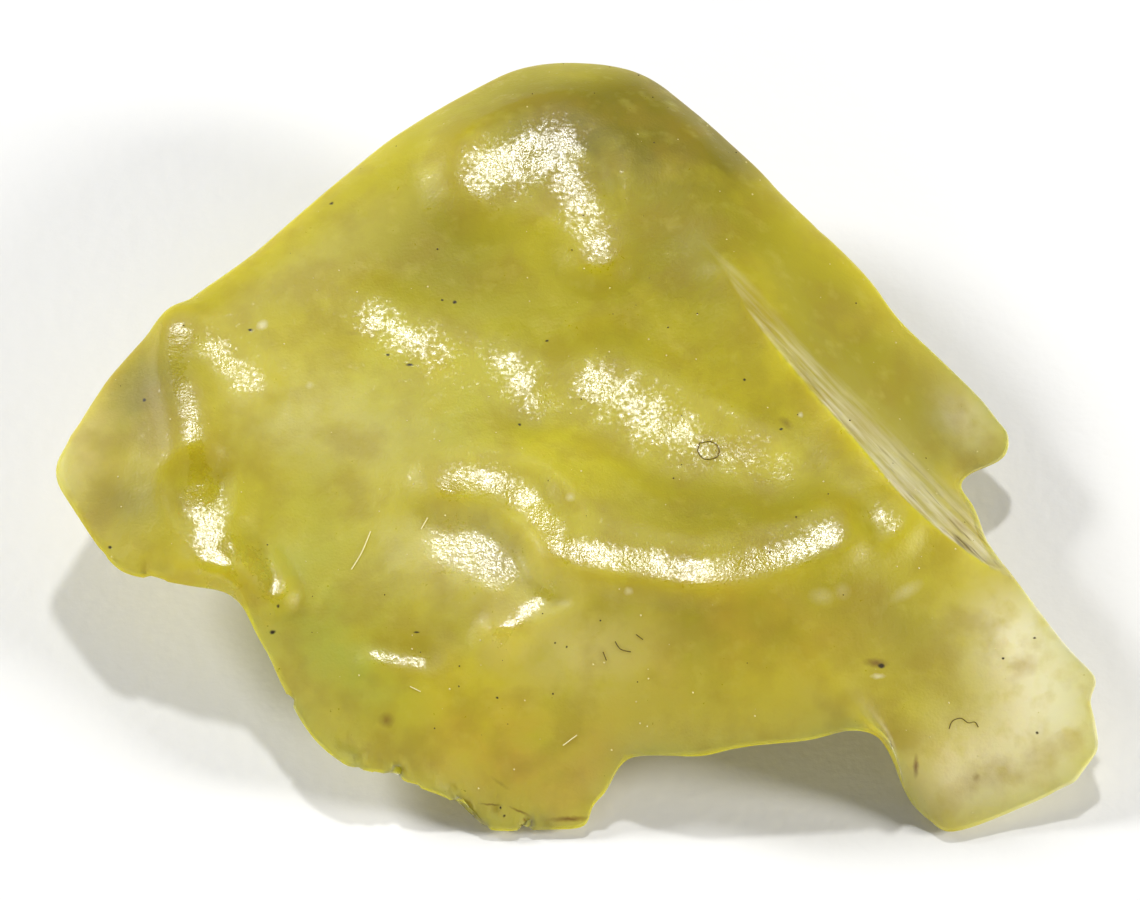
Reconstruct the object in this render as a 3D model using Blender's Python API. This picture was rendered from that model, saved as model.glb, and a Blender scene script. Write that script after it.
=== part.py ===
"""One fragment of natural desert glass, lying as found: a wind-worn flake with a scalloped top, an
undercut rim, two feet and a lobe at the front and a thin ledge at the right. Blender 4.5, metres, +Z up,
origin at the middle of its base.

The rim and the top were surveyed by eye from the front, SURVEY_ELEVATION above the horizon, looking along
+Y. Each survey point is (across, up, height) in millimetres: across and up lie in the plane facing that eye,
and height is above the ground. on_plan() lays such a point out on the ground plan."""

import math

import bmesh
import bpy
import numpy as np

MM = 0.001
SURVEY_ELEVATION = math.radians(56)

# The rim, clockwise from the back: (across, up, height, edge), where edge is how thick the rim is there.
RIM = (
    (0.4, 11.15, 4.6, 1.3),
    (2.0, 10.9, 4.7, 1.3),
    (3.1, 10.2, 4.7, 1.3),
    (5.25, 8.4, 4.6, 1.2),
    (6.4, 7.2, 4.4, 1.1),
    (7.65, 6.05, 4.0, 1.0),
    (8.75, 4.95, 3.6, 0.9),
    (9.6, 3.8, 3.1, 0.8),
    (10.8, 2.65, 2.5, 0.7),
    (12.1, 1.35, 2.0, 0.6),
    (12.8, 0.3, 1.8, 0.5),
    (12.6, -0.25, 1.8, 0.5),
    (12.1, -0.5, 1.9, 0.5),
    (11.7, -0.65, 2.1, 0.5),
    (11.35, -0.95, 2.4, 0.5),
    (11.4, -1.2, 2.6, 0.5),
    (11.65, -1.55, 2.8, 0.5),
    (11.85, -2.0, 3.0, 0.6),
    (12.05, -2.6, 3.2, 0.6),
    (12.6, -3.4, 3.1, 0.6),
    (14.15, -5.45, 2.7, 0.6),
    (15.2, -6.65, 2.2, 0.6),
    (15.0, -7.2, 2.0, 0.6),
    (15.2, -8.5, 1.5, 0.6),
    (14.5, -9.55, 1.0, 0.6),
    (12.65, -10.45, 0.5, 0.6),
    (11.3, -10.95, 0.3, 0.6),
    (10.7, -10.95, 0.3, 0.5),
    (10.2, -10.5, 0.35, 0.5),
    (9.75, -10.1, 0.6, 0.5),
    (9.6, -9.6, 1.1, 0.5),
    (9.4, -8.9, 1.9, 1.0),
    (8.95, -8.3, 2.5, 1.0),
    (8.2, -8.05, 2.8, 0.5),
    (6.8, -8.35, 2.6, 0.5),
    (4.9, -8.55, 2.5, 0.5),
    (3.8, -8.8, 2.3, 0.5),
    (2.2, -8.8, 2.0, 0.5),
    (1.5, -9.0, 1.6, 0.5),
    (1.0, -9.9, 1.0, 0.5),
    (0.6, -10.35, 0.6, 0.5),
    (0.4, -10.85, 0.3, 0.5),
    (-0.9, -10.95, 0.25, 0.5),
    (-2.3, -10.95, 0.3, 0.5),
    (-2.9, -10.6, 0.5, 0.5),
    (-3.5, -10.05, 0.9, 0.4),
    (-4.3, -9.75, 1.2, 0.4),
    (-5.2, -9.35, 1.4, 0.4),
    (-6.3, -9.15, 1.6, 0.4),
    (-7.4, -8.3, 1.9, 0.4),
    (-8.25, -6.9, 2.3, 0.5),
    (-8.6, -6.1, 2.6, 0.5),
    (-9.0, -5.4, 2.9, 0.5),
    (-9.4, -4.6, 3.2, 0.5),
    (-9.7, -4.25, 3.4, 0.5),
    (-10.1, -4.05, 3.5, 0.6),
    (-11.9, -3.75, 3.5, 0.7),
    (-13.1, -3.4, 3.5, 0.8),
    (-14.35, -1.75, 3.7, 0.9),
    (-14.9, -0.7, 3.8, 1.0),
    (-14.55, 0.25, 4.0, 1.0),
    (-13.45, 1.95, 4.0, 1.1),
    (-12.3, 3.3, 4.1, 1.1),
    (-11.1, 4.35, 4.2, 1.2),
    (-9.5, 5.45, 4.2, 1.2),
    (-8.05, 6.7, 4.3, 1.2),
    (-5.35, 8.95, 4.4, 1.3),
    (-2.8, 10.4, 4.5, 1.3),
    (-1.2, 11.05, 4.5, 1.3),
)

# The worn top inside the rim: (across, up, height), along the hollows and the swells between them.
TOP = (
    (3.8, 8.4, 6.1), (3.5, 6.7, 6.05), (3.9, 4.4, 5.6), (3.8, 2.3, 4.95), (3.8, 0.9, 4.55),
    (3.8, -0.6, 4.65), (3.8, -2.0, 4.85), (3.8, -3.4, 4.85), (3.8, -4.4, 4.5), (3.8, -5.5, 4.1),
    (3.8, -7.3, 3.2), (1.6, 8.2, 6.5), (-0.8, 8.8, 6.75), (-0.5, 7.4, 6.5), (-0.3, 5.5, 5.8),
    (-0.3, 3.8, 5.25), (-0.3, 1.9, 4.8), (-0.3, 0.3, 4.85), (-0.3, -1.5, 4.9), (-0.3, -4.1, 4.2),
    (-0.3, -5.5, 3.6), (-0.3, -7.3, 2.6), (-0.3, -9.0, 1.5), (-2.9, 9.0, 6.1), (-2.9, 7.5, 6.0),
    (-2.9, 5.5, 5.5), (-2.9, 3.8, 5.05), (-2.9, 2.2, 4.85), (-2.9, 0.3, 4.8), (-2.8, -3.0, 4.0),
    (-2.6, -4.4, 3.75), (-2.6, -6.1, 3.15), (-2.6, -7.8, 2.2), (-2.3, -9.6, 1.0), (-4.9, 7.5, 5.7),
    (-4.9, 6.0, 5.5), (-4.9, 4.2, 5.15), (-4.9, 3.0, 4.9), (-4.9, 0.9, 4.85), (-4.9, -0.9, 4.45),
    (-4.9, -2.6, 4.05), (-4.9, -4.4, 3.65), (-4.9, -6.1, 3.1), (-4.9, -7.8, 2.4), (-7.6, 5.4, 5.1),
    (-8.7, 4.4, 4.95), (-9.2, 3.2, 4.8), (-9.0, 1.2, 4.5), (-9.0, -0.9, 4.1), (-9.2, -2.6, 3.75),
    (-11.3, 3.0, 4.85), (-11.0, 0.3, 4.75), (-10.5, -1.9, 4.45), (-13.0, 0.9, 4.55), (-13.0, -1.2, 4.25),
    (6.0, 0.4, 4.5), (7.2, -0.8, 4.65), (7.2, -2.2, 4.85), (8.5, -1.4, 4.6), (8.3, -3.4, 4.45),
    (8.1, -4.9, 4.0), (8.1, -6.7, 3.4), (5.5, 4.9, 5.75), (6.7, 2.6, 5.3), (8.1, 0.6, 4.8),
    (9.6, -1.2, 4.45), (11.0, -2.3, 3.95), (6.9, 5.4, 4.9), (8.2, 3.4, 4.1), (9.6, 1.8, 3.3),
    (11.2, 0.6, 2.4), (10.4, -0.2, 3.1), (10.7, -5.5, 3.3), (11.9, -5.5, 3.1), (11.9, -7.3, 2.3),
    (11.9, -8.7, 1.55), (11.9, -9.9, 0.9), (13.9, -6.2, 2.6), (13.9, -7.5, 2.05), (13.9, -9.0, 1.3),
    (10.4, -9.3, 1.5), (9.6, -6.7, 3.15),
)

# The broken underside: (x, y, height) on the plan. The low places are what it lies on.
UNDER = (
    (-6.5, 3.0, -0.20), (3.5, 3.2, -0.20), (-1.5, 3.6, -0.15), (-1.5, 0.5, 0.30), (-5.0, -2.0, 0.35),
    (2.5, -1.5, 0.55), (6.5, 0.0, 0.60), (-9.5, 0.5, 1.10), (-12.0, 0.0, 2.10), (-2.0, 7.0, 2.00),
    (3.0, 7.0, 2.10), (-7.0, 5.5, 1.60), (7.0, 3.0, 1.40), (9.5, -3.5, 0.90), (-7.0, -6.0, 0.80),
    (-3.5, -8.5, 0.40), (-1.0, -10.5, 0.10), (-1.0, -6.0, 0.50), (3.0, -6.5, 1.50), (6.5, -7.0, 1.80),
    (5.0, -9.5, 2.00), (10.5, -9.0, 0.70), (11.5, -12.0, 0.00), (13.0, -9.5, 0.80),
)

# Crests between the hollows: (across, up, height) along each, how far it rises, how far its sides reach and
# how round it is along the top.
CRESTS = (
    {"rise": 0.45, "reach": 2.6, "top": 0.3, "line": (
        (-11.4, 3.4, 5.1), (-11.2, 1.7, 5.1), (-10.9, 0.0, 5.0), (-10.6, -1.4, 4.7), (-10.2, -3.0, 4.2))},
    {"rise": 0.50, "reach": 2.6, "top": 0.9, "line": (
        (-3.2, -1.0, 5.0), (-1.4, -1.3, 5.1), (-0.2, -2.7, 5.1), (1.4, -3.2, 5.2), (3.8, -3.4, 5.2),
        (5.8, -3.2, 5.2), (7.6, -2.4, 5.1))},
    {"rise": 0.35, "reach": 1.6, "top": 0.3, "line": (
        (-0.4, -3.5, 4.7), (-1.9, -5.3, 3.9), (-3.6, -6.8, 3.0))},
    {"rise": 0.45, "reach": 1.8, "top": 0.25, "line": (
        (4.6, 5.2, 6.1), (5.5, 4.0, 5.9), (6.7, 2.4, 5.6), (8.1, 0.6, 5.2), (9.6, -1.1, 4.8),
        (11.2, -2.3, 4.2))},
)

# The mesh: a square of SIDE cells on the top and on the underside, and EDGE_ROWS rows from each to the rim.
SIDE = 38
EDGE_ROWS = 5
RIM_STEPS = 4 * SIDE
ROUNDING_START = 0.80
SMOOTH_REACH = 0.02
SMOOTH_TURN = 0.02
NOTCH_FADE = 5
SPOKES_MEET = (-1.0, 1.5)
EASING_ROUNDS = 25
FIT_STIFFNESS = 0.02


def on_plan(points):
    """Survey points (across, up, height) as (x, y, z) on the ground plan."""
    across, up, height = np.asarray(points, float).T[:3]
    y = (up - height * math.cos(SURVEY_ELEVATION)) / math.sin(SURVEY_ELEVATION)
    return np.column_stack((across, y, height))


def through(points, count, closed):
    """count points, evenly spaced, on the smooth curve through the given ones. Columns past z go along."""
    p = np.asarray(points, float)
    n = len(p)
    knots = np.arange(n + (1 if closed else 0))
    fine = np.linspace(0, knots[-1], 40 * n)
    i = np.minimum(np.floor(fine).astype(int), knots[-1] - 1)
    t = (fine - i)[:, None]

    def at(k):
        return p[k % n] if closed else p[np.clip(k, 0, n - 1)]

    a, b, c, d = at(i - 1), at(i), at(i + 1), at(i + 2)
    curve = 0.5 * (2 * b + (c - a) * t + (2 * a - 5 * b + 4 * c - d) * t**2 + (3 * b - a - 3 * c + d) * t**3)
    run = np.concatenate(([0], np.cumsum(np.linalg.norm(np.diff(curve[:, :3], axis=0), axis=1))))
    steps = np.linspace(0, run[-1], count, endpoint=not closed)
    return np.column_stack([np.interp(steps, run, column) for column in curve.T])


def sheet(points, stiffness=FIT_STIFFNESS):
    """The height of the thin elastic sheet that passes near all (x, y, z) points, as a function."""
    x, y, z = np.asarray(points, float).T

    def bend(px, py):
        r2 = (px[:, None] - x) ** 2 + (py[:, None] - y) ** 2
        return 0.5 * r2 * np.log(r2 + 1e-12)

    n = len(x)
    flat = np.column_stack((np.ones(n), x, y))
    system = np.zeros((n + 3, n + 3))
    system[:n, :n] = bend(x, y) + stiffness * np.eye(n)
    system[:n, n:], system[n:, :n] = flat, flat.T
    weights = np.linalg.solve(system, np.concatenate((z, np.zeros(3))))

    def height(px, py):
        return bend(px, py) @ weights[:n] + weights[n] + weights[n + 1] * px + weights[n + 2] * py

    return height


def distance_to(line, x, y):
    """How far each (x, y) lies from a chain of plan points."""
    best = np.full(len(x), np.inf)
    for (ax, ay), (bx, by) in zip(line[:-1, :2], line[1:, :2]):
        dx, dy = bx - ax, by - ay
        t = np.clip(((x - ax) * dx + (y - ay) * dy) / (dx * dx + dy * dy), 0, 1)
        best = np.minimum(best, np.hypot(x - ax - t * dx, y - ay - t * dy))
    return best


def crest_rise(x, y):
    """What the crests add to the top at each (x, y)."""
    total = np.zeros(len(x))
    for crest in CRESTS:
        line = through(on_plan(crest["line"]), 24, closed=False)
        d = np.sqrt(distance_to(line, x, y) ** 2 + crest["top"] ** 2) - crest["top"]
        total += crest["rise"] * np.clip(1 - d / crest["reach"], 0, 1) ** 2
    return total


def smoothed(values, share):
    """Values at even steps round the rim, with what is shorter than this share of it faded out."""
    n = len(values)
    reach = np.arange(n)
    reach = np.minimum(reach, n - reach) / (share * n)
    weights = np.exp(-(reach**2) / 2)
    return np.fft.irfft(np.fft.rfft(values) * np.fft.rfft(weights / weights.sum()), n)


def softened(rim, centre):
    """The rim's plan with its notches and lobes eased, each point still about as seen from the centre."""
    x, y = (rim[:, :2] - centre).T
    once_round = -2 * math.pi * np.arange(len(rim)) / len(rim)
    turn = smoothed(np.unwrap(np.arctan2(y, x)) - once_round, SMOOTH_TURN) + once_round
    reach = smoothed(np.hypot(x, y), SMOOTH_REACH)
    return centre + np.column_stack((reach * np.cos(turn), reach * np.sin(turn)))


def ringed_block():
    """A cube cut into the cells of the glass, and for each vertex its side (+1 top, -1 underside, 0 rim),
    its share of the way out to the rim and its place round the rim."""
    bm = bmesh.new()
    bmesh.ops.create_cube(bm, size=2)
    for axis, cells in ((0, SIDE), (1, SIDE), (2, 2 * EDGE_ROWS)):
        along = [e for e in bm.edges if abs(e.verts[0].co[axis] - e.verts[1].co[axis]) > 1]
        bmesh.ops.subdivide_edges(bm, edges=along, cuts=cells - 1, use_grid_fill=True)
    co = np.array([v.co for v in bm.verts])
    outward = np.maximum(abs(co[:, 0]), abs(co[:, 1]))
    half = SIDE / 2
    share = (outward * half + (1 - abs(co[:, 2])) * EDGE_ROWS) / (half + EDGE_ROWS)
    a, b = co[:, 0] / np.maximum(outward, 1e-9), co[:, 1] / np.maximum(outward, 1e-9)
    place = np.select(
        [b >= 1 - 1e-6, a >= 1 - 1e-6, b <= -1 + 1e-6],
        [1 + a, 3 - b, 5 - a],
        7 + b,
    )
    side = np.where(abs(co[:, 2]) < 1e-6, 0, np.sign(co[:, 2]))
    bm.verts.index_update()
    return bm, side, share, (place / 8) % 1


def round_rim(values, place):
    """values given at even steps round the rim, read at each place."""
    n = len(values)
    steps = np.arange(n + 1) / n
    looped = np.vstack((values, values[:1]))
    return np.column_stack([np.interp(place, steps, column) for column in looped.T])


def eased(plan, edges, held):
    """Plan points drawn to the middle of their neighbours, so that no cell is pinched at the notch."""
    a, b = edges.T
    count = np.bincount(edges.ravel(), minlength=len(plan))
    for _ in range(EASING_ROUNDS):
        total = np.column_stack([
            np.bincount(a, column[b], len(plan)) + np.bincount(b, column[a], len(plan)) for column in plan.T
        ])
        plan = np.where(held[:, None], plan, total / count[:, None])
    return plan


def glass_points(bm, side, share, place):
    """Where each vertex of the ringed block lies in the finished glass, in millimetres."""
    rim = through(np.column_stack((on_plan(RIM), np.array(RIM)[:, 3])), RIM_STEPS * 4, closed=True)
    centre = np.array(SPOKES_MEET)
    soft = softened(rim, centre)
    at, near = round_rim(rim, place), round_rim(soft, place)
    out = share[:, None]
    plan = centre + out * (near - centre) + out**NOTCH_FADE * (at[:, :2] - near)
    edges = np.array([[v.index for v in e.verts] for e in bm.edges])
    x, y = eased(plan, edges, side == 0).T

    rim_fit = rim[::10]
    top = sheet(np.vstack((on_plan(TOP), rim_fit[:, :3] + np.outer(rim_fit[:, 3] / 2, (0, 0, 1)))))
    under = sheet(np.vstack((UNDER, rim_fit[:, :3] - np.outer(rim_fit[:, 3] / 2, (0, 0, 1)))))
    past_start = np.clip(share - ROUNDING_START, 0, 1) / (1 - ROUNDING_START)
    rounding = np.sqrt(np.clip(1 - past_start**2, 0, 1))
    half_edge = at[:, 3] / 2
    to_rim = share**6
    rim_x, rim_y = at[:, 0], at[:, 1]
    upper = top(x, y) + to_rim * (at[:, 2] + half_edge - top(rim_x, rim_y)) + crest_rise(x, y) * (1 - to_rim)
    lower = under(x, y) + to_rim * (at[:, 2] - half_edge - under(rim_x, rim_y))
    z = np.where(side > 0, upper - half_edge * (1 - rounding), lower + half_edge * (1 - rounding))
    z = np.where(side == 0, at[:, 2], z)
    return np.column_stack((x, y, np.maximum(z, 0)))


def desert_glass_material():
    """Pale yellow-green natural silica glass with a satin, wind-worn skin."""
    material = bpy.data.materials.new("desert_glass")
    material.use_nodes = True
    shader = material.node_tree.nodes["Principled BSDF"]
    shader.inputs["Base Color"].default_value = (0.42, 0.36, 0.06, 1)
    shader.inputs["Roughness"].default_value = 0.3
    shader.inputs["Metallic"].default_value = 0
    return material


def glass_fragment(collection):
    bm, side, share, place = ringed_block()
    points = glass_points(bm, side, share, place)
    low, high = points.min(axis=0), points.max(axis=0)
    points -= ((low[0] + high[0]) / 2, (low[1] + high[1]) / 2, 0)
    for vertex, point in zip(bm.verts, points):
        vertex.co = point * MM
    mesh = bpy.data.meshes.new("glass_fragment")
    bm.to_mesh(mesh)
    bm.free()
    mesh.shade_smooth()
    fragment = bpy.data.objects.new("glass_fragment", mesh)
    fragment.data.materials.append(desert_glass_material())
    collection.objects.link(fragment)
    return fragment


def main():
    for old in list(bpy.data.objects):
        bpy.data.objects.remove(old)
    collection = bpy.data.collections.new("libyan_desert_glass")
    bpy.context.scene.collection.children.link(collection)
    glass_fragment(collection)


main()
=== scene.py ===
"""The finished look of the desert glass fragment, on a plain white floor under small lamps in a dim room.

Places on the fragment are named as the eye in front of it sees them: (across, up) in millimetres, in the
plane that faces an eye SURVEY_ELEVATION above the horizon looking along +Y."""

import math

import bmesh
import bpy
import numpy as np
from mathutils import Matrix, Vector, noise
from mathutils.bvhtree import BVHTree

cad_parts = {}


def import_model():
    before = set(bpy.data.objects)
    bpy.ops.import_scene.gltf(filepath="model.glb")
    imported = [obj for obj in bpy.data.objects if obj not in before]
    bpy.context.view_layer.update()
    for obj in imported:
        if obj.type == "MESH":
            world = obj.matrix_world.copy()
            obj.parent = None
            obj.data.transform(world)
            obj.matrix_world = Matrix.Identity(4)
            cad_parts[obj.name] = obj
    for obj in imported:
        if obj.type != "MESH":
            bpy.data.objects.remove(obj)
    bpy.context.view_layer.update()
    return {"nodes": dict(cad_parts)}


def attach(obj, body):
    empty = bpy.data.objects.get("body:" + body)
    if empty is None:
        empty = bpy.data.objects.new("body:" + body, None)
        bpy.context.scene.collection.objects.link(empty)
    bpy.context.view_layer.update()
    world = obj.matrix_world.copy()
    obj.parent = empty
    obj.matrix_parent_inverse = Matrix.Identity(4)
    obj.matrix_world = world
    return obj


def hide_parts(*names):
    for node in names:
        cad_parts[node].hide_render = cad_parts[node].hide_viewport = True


MM = 0.001

# The eye: how steeply it looks down, the place of the ground in the middle of its picture, how wide its
# picture is and how far it stands off, in degrees and millimetres.
SURVEY_ELEVATION = math.radians(56)
TO_EYE = Vector((0, -math.cos(SURVEY_ELEVATION), math.sin(SURVEY_ELEVATION)))
SURVEY_CENTRE = (-0.177, 1.540)
FRAME_WIDTH = 1140 * 0.029
MIDDLE_DEPTH = 4.0
EYE_DISTANCE = 500.0

# The lamps: azimuth and elevation in degrees, width in metres, power in watts, colour and distance in
# metres. The polished facets mirror the back lamp to the eye.
BACK_LAMP = (0, 62)
BACK_LAMP_DISTANCE = 0.3
LAMPS = {
    "back_lamp": (*BACK_LAMP, 0.026, 0.32, (1.0, 1.0, 1.0), BACK_LAMP_DISTANCE),
    "right_lamp": (98, 22, 0.08, 0.74, (1.0, 0.98, 0.94), 0.3),
    "left_lamp": (-64, 31, 0.08, 0.63, (1.0, 1.0, 1.0), 0.3),
    "front_fill": (-150, 12, 0.50, 1.2, (0.98, 0.98, 0.92), 0.5),
    "low_glow": (172, 9, 0.10, 0.12, (1.0, 0.82, 0.25), 0.3),
}
ROOM_COLOUR = (0.92, 0.96, 1.0, 1)
ROOM_STRENGTH = 0.11

# Polished facets of the top: the middle line of each (across, up), how far its full polish reaches to both
# sides, how far its edge fades beyond that, how bright it is, how wide the facet blends into the glass
# around it, and how fully it is levelled to mirror the back lamp to the eye. One that follows keeps the
# glass's own rise and fall along its line; the others are level in one plane.
FACETS = (
    {"line": ((-2.5, 8.1), (-1.3, 8.5), (-0.4, 8.8)), "reach": 0.34, "edge": 0.9, "shine": 0.95, "fade": 1.5,
     "share": 0.95},
    {"line": ((-0.2, 8.2), (0.4, 7.0), (0.8, 5.7)), "reach": 0.05, "edge": 0.9, "shine": 0.8, "fade": 0.9,
     "share": 0.9},
    {"line": ((-11.2, 3.3), (-10.4, 3.0), (-9.2, 1.9)), "reach": 0.0, "edge": 0.7, "shine": 0.7, "fade": 0.9,
     "share": 0.8},
    {"line": ((-5.7, 3.8), (-4.0, 2.9)), "reach": 0.05, "edge": 0.9, "shine": 0.75, "fade": 1.0, "share": 0.9},
    {"line": ((-1.9, 2.4), (-1.0, 1.6)), "reach": 0.10, "edge": 0.9, "shine": 0.75, "fade": 0.9, "share": 0.9},
    {"line": ((0.8, 1.9), (1.9, 1.3), (3.2, 0.4)), "reach": 0.15, "edge": 1.1, "shine": 0.78, "fade": 1.3,
     "share": 0.9},
    {"line": ((3.8, 0.2), (5.2, -0.2), (6.0, -0.6)), "reach": 0.0, "edge": 0.9, "shine": 0.5, "fade": 1.2,
     "share": 0.6},
    {"line": ((-3.3, -2.8), (-2.3, -3.3)), "reach": 0.30, "edge": 1.1, "shine": 0.9, "fade": 1.5, "share": 0.9},
    {"line": ((9.0, -1.9), (9.3, -2.2)), "reach": 0.0, "edge": 0.6, "shine": 0.7, "fade": 0.8, "share": 0.9},
    {"line": ((-5.6, -5.95), (-4.3, -6.1)), "reach": 0.0, "edge": 0.35, "shine": 1.0, "fade": 0.6,
     "share": 0.9},
    {"line": ((-11.4, 3.45), (-11.35, 2.15), (-10.95, 0.8), (-10.6, -1.4)), "reach": 0.0, "edge": 0.45,
     "shine": 1.1, "fade": 0.8, "share": 0.8, "follows": True},
    {"line": ((-9.8, -2.6), (-9.0, -3.3), (-8.5, -4.1)), "reach": 0.05, "edge": 0.5, "shine": 1.0, "fade": 0.6,
     "share": 0.9},
    {"line": ((-10.6, -1.2), (-10.4, -2.4), (-10.0, -3.8)), "reach": 0.26, "edge": 0.6, "shine": 1.1,
     "fade": 0.9, "share": 1.0},
    {"line": ((-3.5, -1.0), (-2.6, -0.9), (-1.5, -1.3)), "reach": 0.10, "edge": 0.6, "shine": 1.0, "fade": 0.9,
     "share": 0.9},
    {"line": ((-1.2, -1.5), (-0.58, -2.2), (-0.15, -2.75), (0.87, -3.05), (2.3, -3.25), (3.77, -3.5),
              (5.5, -3.2), (6.67, -2.84), (7.5, -2.45)), "reach": 0.12, "edge": 0.5, "shine": 1.1, "fade": 0.9,
     "share": 1.0, "follows": True},
    {"line": ((-0.6, -4.0), (-2.0, -5.4)), "reach": 0.0, "edge": 0.4, "shine": 1.0, "fade": 0.8, "share": 1.0},
)

# The long right ridge, where the top ends in a low step. Beyond it the glass falls to the thin ledge.
RIGHT_RIDGE = ((3.7, 6.15), (4.4, 5.3), (5.15, 4.05), (6.8, 1.95), (8.4, 0.1), (9.8, -1.55), (11.55, -3.0),
               (12.55, -3.6))

# The back rim, which stands up as a narrow lip.
BACK_RIM = ((-6.8, 9.0), (-4.8, 10.1), (-2.8, 10.8), (-0.9, 11.05), (0.9, 10.95), (2.2, 10.4), (3.6, 9.2),
            (5.3, 7.4))

# The lower left edge, which is nibbled by small chips.
CHIPPED_RIM = ((-13.6, -2.7), (-12.2, -3.9), (-10.6, -4.15), (-9.6, -5.1), (-8.7, -7.0), (-6.9, -8.4),
               (-4.5, -9.4), (-2.6, -10.6), (-0.2, -10.9))

# Places of the top that are smoother than the solid: middle, reach and turn. Each round of smoothing
# spreads a little further.
CALM = (((7.6, -5.2), (2.6, 0.9), -50), ((8.6, -7.0), (0.9, 0.9), 0), ((1.2, -7.2), (2.6, 1.5), 0))
CALM_ROUNDS = 150

# Where the glass is milky and pale, greener, ochre, deep in colour, or matt: how strongly, the middle
# (across, up), the reach (along, aside) and the turn in degrees. Two pale spots are painted sheen, and some
# deep spots are painted shade.
PATCHES = {
    # The spots at (-7.2, 0.8) and (-3.0, -3.2), in two hollows, are painted sheen; the rest is pale milky
    # glass.
    "pale": (
        (1.00, (13.9, -7.4), (1.7, 2.4), 0), (0.60, (12.9, -5.2), (1.6, 1.2), 0),
        (0.60, (11.6, -9.4), (1.8, 1.3), 0), (0.20, (-7.2, 0.8), (3.2, 1.4), -15),
        (0.30, (-3.0, -3.2), (2.4, 1.4), -10), (0.08, (-7.6, 5.4), (2.2, 0.8), 35),
        (0.50, (11.6, 0.9), (1.0, 0.7), -45), (0.20, (0.2, -5.8), (2.4, 1.2), 0),
        (0.25, (-14.2, -0.2), (0.7, 1.6), -25),
    ),
    "green": (
        (0.80, (-6.4, -6.2), (3.4, 1.4), -50), (0.30, (-7.5, -3.2), (2.5, 2.0), -50),
        (0.35, (-3.0, 2.0), (4.0, 3.0), 0), (0.40, (11.9, 0.4), (0.8, 0.5), -30),
    ),
    "ochre": (
        (0.80, (-1.4, -8.8), (3.2, 1.8), -10), (0.50, (4.5, -5.2), (4.5, 1.6), 0),
        (0.60, (11.2, -9.2), (1.0, 0.9), 0), (0.40, (-13.0, 0.4), (1.2, 1.6), -30),
    ),
    # Deeper olive glass, and painted shade that darkens the back rim and the shelf beyond the right ridge.
    "deep_and_shade": (
        (1.20, (1.0, 9.5), (3.4, 1.6), -10), (0.50, (-3.5, 6.4), (2.6, 1.6), 30),
        (0.60, (3.0, 5.6), (2.6, 3.0), -35), (0.60, (4.6, -1.8), (3.8, 1.2), -5),
        (0.50, (5.0, -5.0), (3.5, 1.2), 0), (0.50, (-12.6, -1.4), (1.4, 0.9), 0),
        (0.50, (9.6, -5.2), (2.4, 1.3), -50), (0.40, (11.3, 0.8), (1.6, 1.2), -45),
        (0.35, (6.9, 4.9), (3.2, 1.3), -50), (0.80, (3.6, 9.6), (2.4, 1.0), -40),
        (0.90, (-12.2, 1.7), (1.2, 1.4), -20), (0.40, (-2.6, 4.6), (2.6, 1.2), -10),
    ),
    "matt": (
        (0.80, (12.9, -7.4), (2.6, 3.4), 0), (1.00, (-13.6, -0.3), (1.4, 3.0), -15),
    ),
}

# How rough the worn skin is where it is satin, polished and matt.
SATIN = 0.52
POLISHED = 0.13
MATT = 0.65

# Marks on the top: middle (across, up), reach (along, aside), turn in degrees and, but for the specks,
# strength.
SPECKS = (
    (-9.28, 3.48, 0.09, 0.06, 0), (-6.96, 7.19, 0.09, 0.05, 30), (-4.64, 2.47, 0.14, 0.05, 0),
    (-5.28, 2.76, 0.07, 0.05, 0), (-12.33, 1.45, 0.07, 0.07, 0), (-3.34, 4.29, 0.08, 0.06, 0),
    (-3.71, 4.35, 0.06, 0.04, 0), (-1.45, 0.73, 0.06, 0.05, 0), (-0.67, 3.16, 0.06, 0.04, 0),
    (-8.41, -4.50, 0.06, 0.06, 0), (-8.56, -5.25, 0.12, 0.07, 20), (-13.28, -2.81, 0.07, 0.06, 0),
    (-4.41, -5.25, 0.12, 0.04, 0), (-0.44, -5.54, 0.04, 0.04, 0), (0.87, -4.90, 0.04, 0.04, 0),
    (-0.09, -5.66, 0.04, 0.04, 0), (-2.09, -7.13, 0.05, 0.04, 0), (-3.19, -6.79, 0.04, 0.04, 0),
    (-2.00, -10.30, 0.04, 0.06, 0), (-1.89, -10.53, 0.05, 0.05, 0), (12.47, -6.00, 0.05, 0.04, 0),
    (13.40, -5.42, 0.06, 0.05, 0), (13.46, -8.15, 0.06, 0.05, 0), (5.05, 2.03, 0.05, 0.05, 0),
    (6.10, 0.60, 0.06, 0.05, 0), (8.95, -6.20, 0.13, 0.08, -20),
)
STAINS = (
    (8.80, -6.12, 0.42, 0.17, -5, 0.8), (6.24, 0.78, 0.30, 0.16, -40, 0.5), (-5.28, -7.77, 0.28, 0.26, 0, 0.6),
    (9.95, -9.10, 0.10, 0.40, 0, 0.9), (11.70, -9.42, 0.14, 0.18, 20, 0.5), (11.30, -2.20, 0.5, 0.1, -40, 0.4),
    (0.0, -10.62, 0.75, 0.10, 2, 0.9), (-1.45, -10.40, 0.40, 0.05, -25, 0.8),
    (-1.30, -10.65, 0.10, 0.05, -50, 0.9), (-2.3, -10.20, 0.40, 0.04, -5, 0.8), (-2.0, -9.60, 0.40, 0.08, -35, 0.3), (-6.3, 3.4, 0.3, 0.1, 0, 0.25),
)
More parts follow.
